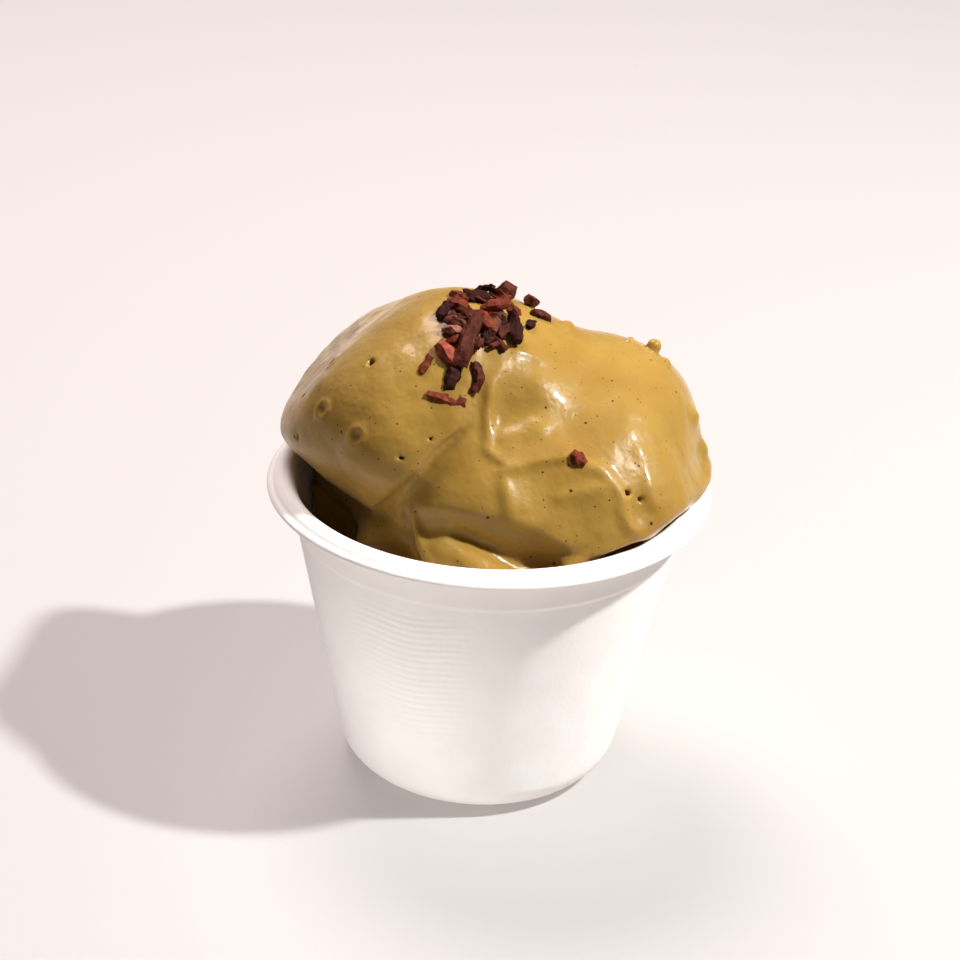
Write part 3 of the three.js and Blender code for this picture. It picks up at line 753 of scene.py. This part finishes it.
class Nodes:
    """Short calls for building a material's node tree."""

    def __init__(self, name):
        self.material = bpy.data.materials.new(name)
        self.material.use_nodes = True
        self.tree = self.material.node_tree
        self.shader = self.tree.nodes["Principled BSDF"]

    def add(self, kind, **settings):
        node = self.tree.nodes.new(kind)
        for key, value in settings.items():
            setattr(node, key, value)
        return node

    def link(self, source, target):
        self.tree.links.new(source, target)

    def set(self, **values):
        for key, value in values.items():
            self.shader.inputs[key.replace("_", " ")].default_value = value

    def millimetres(self):
        """Object coordinates in millimetres."""
        coordinates = self.add("ShaderNodeTexCoord")
        mapping = self.add("ShaderNodeMapping")
        mapping.inputs["Scale"].default_value = (1 / METRES,) * 3
        self.link(coordinates.outputs["Object"], mapping.inputs["Vector"])
        return mapping.outputs["Vector"]

    def noise(self, place, size, detail=2.0):
        """Noise between 0 and 1 with features of a size in millimetres."""
        node = self.add("ShaderNodeTexNoise")
        node.inputs["Scale"].default_value = 1 / size
        node.inputs["Detail"].default_value = detail
        self.link(place, node.inputs["Vector"])
        return node.outputs["Fac"]

    def ramp(self, value, low, high):
        """A value stretched from low..high to 0..1."""
        node = self.add("ShaderNodeMapRange")
        node.inputs["From Min"].default_value = low
        node.inputs["From Max"].default_value = high
        self.link(value, node.inputs["Value"])
        return node.outputs["Result"]

    def math(self, operation, a, b):
        node = self.add("ShaderNodeMath", operation=operation)
        for socket, value in zip(node.inputs, (a, b)):
            if isinstance(value, (int, float)):
                socket.default_value = value
            else:
                self.link(value, socket)
        return node.outputs["Value"]

    def mix(self, factor, a, b):
        """Mix of two colours, given as tuples or sockets."""
        node = self.add("ShaderNodeMix", data_type="RGBA")
        self.link(factor, node.inputs["Factor"])
        for socket, value in ((node.inputs[MIX_FIRST], a), (node.inputs[MIX_SECOND], b)):
            if isinstance(value, tuple):
                socket.default_value = value
            else:
                self.link(value, socket)
        return node.outputs[MIX_RESULT]

    def bump(self, height, distance, normal=None):
        """Bump with a height of 1 standing for a distance in millimetres."""
        node = self.add("ShaderNodeBump")
        node.inputs["Distance"].default_value = distance * METRES
        self.link(height, node.inputs["Height"])
        if normal is not None:
            self.link(normal, node.inputs["Normal"])
        return node.outputs["Normal"]

    def finish(self, colour, normal):
        self.link(colour, self.shader.inputs["Base Color"])
        self.link(normal, self.shader.inputs["Normal"])
        return self.material


def speckle(nodes, place, spacing, radius):
    """1 on small round specks, 0 elsewhere; each cell has its own speck size."""
    cells = nodes.add("ShaderNodeTexVoronoi")
    cells.inputs["Scale"].default_value = 1 / spacing
    nodes.link(place, cells.inputs["Vector"])
    split = nodes.add("ShaderNodeSeparateColor")
    nodes.link(cells.outputs["Color"], split.inputs["Color"])
    chance = nodes.math("POWER", split.outputs["Red"], 3.0)
    limit = nodes.math("MULTIPLY", chance, radius / spacing)
    return nodes.math("LESS_THAN", cells.outputs["Distance"], limit)


def sorbet_material():
    nodes = Nodes("sorbet_wet")
    place = nodes.millimetres()
    colour = nodes.mix(nodes.ramp(nodes.noise(place, 9.0, 3.0), 0.35, 0.65), SORBET_DEEP, SORBET_LIGHT)
    for spacing, radius in SPECKS:
        colour = nodes.mix(speckle(nodes, place, spacing, radius), colour, SPECK_COLOUR)
    normal = None
    for size, height in SORBET_WAVES:
        normal = nodes.bump(nodes.noise(place, size), height, normal)
    normal = nodes.bump(speckle(nodes, place, BUBBLE_SPACING, BUBBLE_RADIUS), BUBBLE_HEIGHT, normal)
    nodes.link(nodes.ramp(nodes.noise(place, 5.0, 3.0), -0.8, 2.7), nodes.shader.inputs["Roughness"])
    nodes.set(
        Subsurface_Weight=0.35, Subsurface_Radius=(0.0028, 0.0013, 0.0004), Subsurface_Scale=1.0,
        IOR=1.38, Specular_IOR_Level=0.25, Coat_Weight=0.25, Coat_Roughness=0.1, Coat_IOR=1.34,
        Sheen_Weight=0.2, Sheen_Roughness=0.35, Sheen_Tint=SHEEN_COLOUR)
    return nodes.finish(colour, normal)


def cup_material():
    nodes = Nodes("pulp")
    place = nodes.millimetres()
    colour = nodes.mix(nodes.ramp(nodes.noise(place, 6.0, 4.0), 0.3, 0.7), CUP_DEEP, CUP_LIGHT)
    fibre = nodes.bump(nodes.noise(place, 0.6, 3.0), 0.05)
    nodes.set(Roughness=0.78, IOR=1.4)
    return nodes.finish(colour, fibre)


def nib_material():
    nodes = Nodes("cacao")
    place = nodes.millimetres()
    tone = nodes.add("ShaderNodeAttribute", attribute_name="tone")
    patches = nodes.ramp(nodes.noise(place, 1.1, 3.0), 0.3, 0.7)
    shade = nodes.mix(patches, NIB_SHADE_LOW, NIB_SHADE_HIGH)
    product = nodes.add("ShaderNodeMix", data_type="RGBA", blend_type="MULTIPLY")
    product.inputs["Factor"].default_value = 1.0
    nodes.link(tone.outputs["Color"], product.inputs[MIX_FIRST])
    nodes.link(shade, product.inputs[MIX_SECOND])
    grain = nodes.bump(nodes.noise(place, 0.5, 3.0), 0.12)
    nodes.set(Roughness=0.65, IOR=1.45, Specular_IOR_Level=0.08)
    return nodes.finish(product.outputs[MIX_RESULT], grain)


def floor_material():
    nodes = Nodes("floor")
    nodes.set(Base_Color=FLOOR_COLOUR, Roughness=0.9,
              Emission_Color=FLOOR_GLOW_COLOUR, Emission_Strength=FLOOR_GLOW)
    return nodes.material


# Pieces

def make_cup():
    vertices, faces = revolve(cup_profile(), CUP_SEGMENTS)
    cup = make_object("pulp_cup", imprint(vertices), faces, cup_material())
    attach(cup, "root")
    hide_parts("cup")


def plug_profile(top):
    """The sorbet below the lowest grid layer, down to the cup's floor."""
    side = wall_line(BASE_CORNER + 1, top, -WALL_THICK - GAP, 8)
    corner = base_corner(FLOOR_THICK + GAP, 6)
    return [(0.0, FLOOR_THICK + GAP)] + corner + side + [(0.0, top)]


def make_sorbet():
    values = sample_grid(GRID_LOW, GRID_HIGH, CELL)
    vertices, quads = surface_net(values, GRID_LOW, CELL)
    normals = vertex_normals(vertices, quads)
    above = np.clip((vertices[:, 2:] - FILL_TOP) / RELIEF_FADE, 0, 1)
    for size, height in RELIEF:
        vertices = roughen(vertices, normals * above, size, height)
    plug_vertices, plug_faces = revolve(plug_profile(GRID_LOW[2]), PLUG_SEGMENTS)
    faces = [tuple(face) for face in quads.tolist()]
    faces += [tuple(corner + len(vertices) for corner in face) for face in plug_faces]
    scoop = make_object("sorbet_heap", np.vstack((vertices, plug_vertices)), faces, sorbet_material())
    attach(scoop, "root")
    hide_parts("sorbet")


def nib_ring(mesh, along, size, bend, random):
    """Corners of one cross-section of a chip."""
    length, width, thick = np.array(size) / 2
    full = 1 - NIB_TAPER * abs(along) ** NIB_TAPER_POWER
    arch = 1 - along ** 2
    ring = []
    for side in range(NIB_SIDES):
        angle = 2 * math.pi * (side + random.uniform(-NIB_TWIST, NIB_TWIST)) / NIB_SIDES
        reach = full * random.uniform(*NIB_REACH)
        ring.append(mesh.verts.new((
            (along + random.uniform(-NIB_SHIFT, NIB_SHIFT)) * length,
            math.cos(angle) * width * reach + bend[0] * arch,
            math.sin(angle) * thick * reach + bend[1] * arch)))
    return ring


def nib_mesh(size, bend, random):
    """A broken chip: an uneven prism along a bent axis, with blunt ends and craggy faces."""
    mesh = bmesh.new()
    rings = [nib_ring(mesh, along, size, bend, random) for along in np.linspace(-1, 1, NIB_STATIONS)]
    mesh.faces.new(rings[0][::-1])
    mesh.faces.new(rings[-1])
    for low, high in zip(rings, rings[1:]):
        for i in range(NIB_SIDES):
            j = (i + 1) % NIB_SIDES
            mesh.faces.new((low[i], low[j], high[j], high[i]))
    bmesh.ops.triangulate(mesh, faces=mesh.faces[:])
    bmesh.ops.subdivide_edges(mesh, edges=mesh.edges[:], cuts=2, use_grid_fill=True)
    bmesh.ops.recalc_face_normals(mesh, faces=mesh.faces)
    mesh.normal_update()
    shift = Vector(random.uniform(0, 50, 3))
    for vertex in mesh.verts:
        vertex.co += vertex.normal * NIB_CRAGS * noise.noise(vertex.co / NIB_CRAG_SIZE + shift)
    return mesh


def nib_place(spot, turn, lift, lean):
    """Matrix that lays a chip on the heap."""
    foot = surface_point(spot)
    normal = surface_normal(foot)
    upright = Vector((0, 0, 1)).rotation_difference(Vector(normal)).to_matrix().to_4x4()
    turned = Matrix.Rotation(math.radians(turn), 4, "Z") @ Matrix.Rotation(math.radians(lean), 4, "Y")
    return Matrix.Translation(foot + normal * (lift - NIB_SINK)) @ upright @ turned


def crumbs(random):
    """Small broken bits that fill the pile between the chips."""
    result = {}
    for number in range(CRUMBS):
        (azimuth, elevation), _, _, lift, _, _ = NIBS[CRUMB_HOSTS[number % len(CRUMB_HOSTS)]]
        sideways, upwards = random.uniform(-CRUMB_REACH, CRUMB_REACH, 2)
        spot = (azimuth + sideways / math.cos(math.radians(elevation)), elevation + upwards)
        length = random.uniform(*CRUMB_LENGTH)
        size = (length, length * random.uniform(*CRUMB_WIDTH), length * random.uniform(*CRUMB_THICKNESS))
        tone = random.choice(CRUMB_TONES)
        turn = random.uniform(0, 180)
        lift = lift * random.uniform(*CRUMB_LIFT)
        lean = random.uniform(-CRUMB_LEAN, CRUMB_LEAN)
        result[f"crumb_{number}"] = (spot, turn, size, lift, lean, tone)
    return result


def make_nibs():
    random = np.random.default_rng(NIB_SEED)
    vertices, faces, tones = [], [], []
    for name, (spot, turn, size, lift, lean, tone) in (NIBS | crumbs(random)).items():
        chip = nib_mesh(size, NIB_BENDS.get(name, (0.0, 0.0)), random)
        chip.transform(nib_place(spot, turn, lift, lean))
        start = len(vertices)
        chip.verts.index_update()
        vertices += [tuple(vertex.co) for vertex in chip.verts]
        faces += [tuple(start + vertex.index for vertex in face.verts) for face in chip.faces]
        tones += [NIB_TONES[tone] + (1.0,)] * len(chip.verts)
        chip.free()
    nibs = make_object("cacao_nibs", vertices, faces, nib_material())
    nibs.data.polygons.foreach_set("use_smooth", [False] * len(nibs.data.polygons))
    attribute = nibs.data.color_attributes.new("tone", "FLOAT_COLOR", "POINT")
    attribute.data.foreach_set("color", np.array(tones).ravel())
    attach(nibs, "root")
    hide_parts("sorbet")


# Studio

def make_floor():
    half = FLOOR_SIZE / 2
    corners = [(-half, -half, 0), (half, -half, 0), (half, half, 0), (-half, half, 0)]
    make_object("floor", corners, [(0, 1, 2, 3)], floor_material())


def make_area_light(name, place, aim, size, spread, watts, colour):
    lamp = bpy.data.lights.new(name, "AREA")
    lamp.shape = "DISK"
    lamp.size = size * METRES
    lamp.spread = math.radians(spread)
    lamp.energy = watts
    lamp.color = colour
    light = bpy.data.objects.new(name, lamp)
    light.location = Vector(place) * METRES
    light.rotation_euler = (Vector(place) - Vector(aim)).to_track_quat("Z", "Y").to_euler()
    bpy.context.scene.collection.objects.link(light)


def make_sky():
    world = bpy.data.worlds.new("sky")
    world.use_nodes = True
    sky = world.node_tree.nodes["Background"]
    sky.inputs["Color"].default_value = SKY_COLOUR
    sky.inputs["Strength"].default_value = SKY_STRENGTH
    bpy.context.scene.world = world
    bpy.context.scene.view_settings.view_transform = "Standard"


def make_camera():
    pitch = math.radians(CAMERA_PITCH)
    roll = math.radians(CAMERA_ROLL)
    forward = Vector((0, math.cos(pitch), -math.sin(pitch)))
    up = Vector((0, math.sin(pitch), math.cos(pitch)))
    right = Vector((1, 0, 0))
    rolled_right = right * math.cos(roll) + up * math.sin(roll)
    rolled_up = up * math.cos(roll) - right * math.sin(roll)
    data = bpy.data.cameras.new("camera")
    data.sensor_width = SENSOR_WIDTH
    data.lens = LENS
    camera = bpy.data.objects.new("camera", data)
    turn = Matrix((rolled_right, rolled_up, -forward)).transposed().to_4x4()
    place = (Vector(CAMERA_AIM) - forward * CAMERA_DISTANCE) * METRES
    camera.matrix_world = Matrix.Translation(place) @ turn
    bpy.context.scene.collection.objects.link(camera)
    bpy.context.scene.camera = camera


make_camera()
make_sky()
make_area_light("key", KEY_PLACE, KEY_AIM, KEY_SIZE, KEY_SPREAD, KEY_WATTS, KEY_COLOUR)
make_area_light("top", TOP_PLACE, TOP_AIM, TOP_SIZE, TOP_SPREAD, TOP_WATTS, TOP_COLOUR)
make_area_light("card", CARD_PLACE, CARD_AIM, CARD_SIZE, CARD_SPREAD, CARD_WATTS, CARD_COLOUR)
make_floor()
make_cup()
make_sorbet()
make_nibs()
